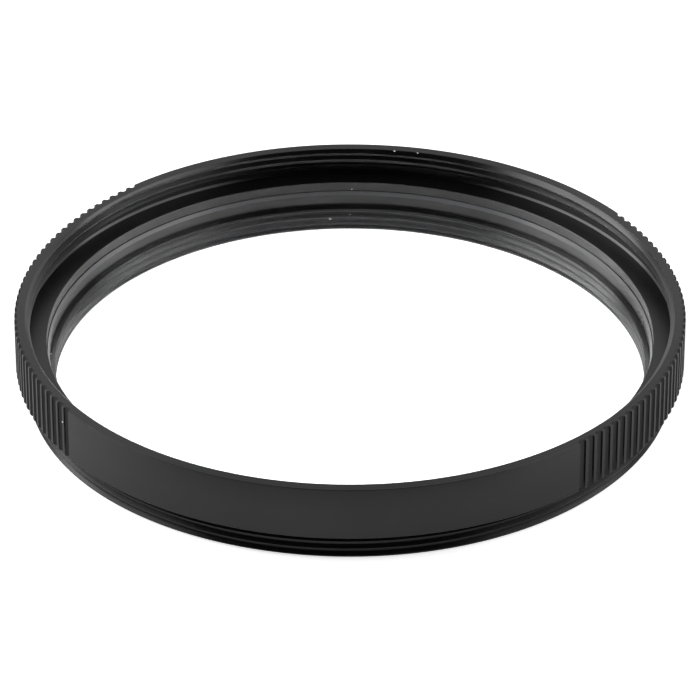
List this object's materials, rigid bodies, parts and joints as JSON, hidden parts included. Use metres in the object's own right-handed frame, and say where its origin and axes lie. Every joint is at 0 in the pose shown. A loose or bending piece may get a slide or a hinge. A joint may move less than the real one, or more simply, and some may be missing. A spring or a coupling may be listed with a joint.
{
  "type": "uv filter",
  "caption": "Black screw-in UV filter for a camera lens: fluted grip ring, rear and front threads, clear glass held by a snap ring.",
  "frame": {"origin": "on the optical axis, in the plane of the lowest face, which is the end of the rear thread", "axes": "+Z along the optical axis, from the lens towards the front; -Y towards the plain front panel; the fluted grips are centred on -X and +X"},
  "size_m": [0.042, 0.042, 0.0054],
  "materials": {
    "ring_black": "satin black anodised, turned",
    "retainer_black": "satin black anodised, turned",
    "glass_clear": "polished clear glass with a thin coating"
  },
  "bodies": {
    "root": {"filter_ring": "ring_black", "retaining_ring": "retainer_black", "uv_glass": "glass_clear"}
  },
  "joints": []
}
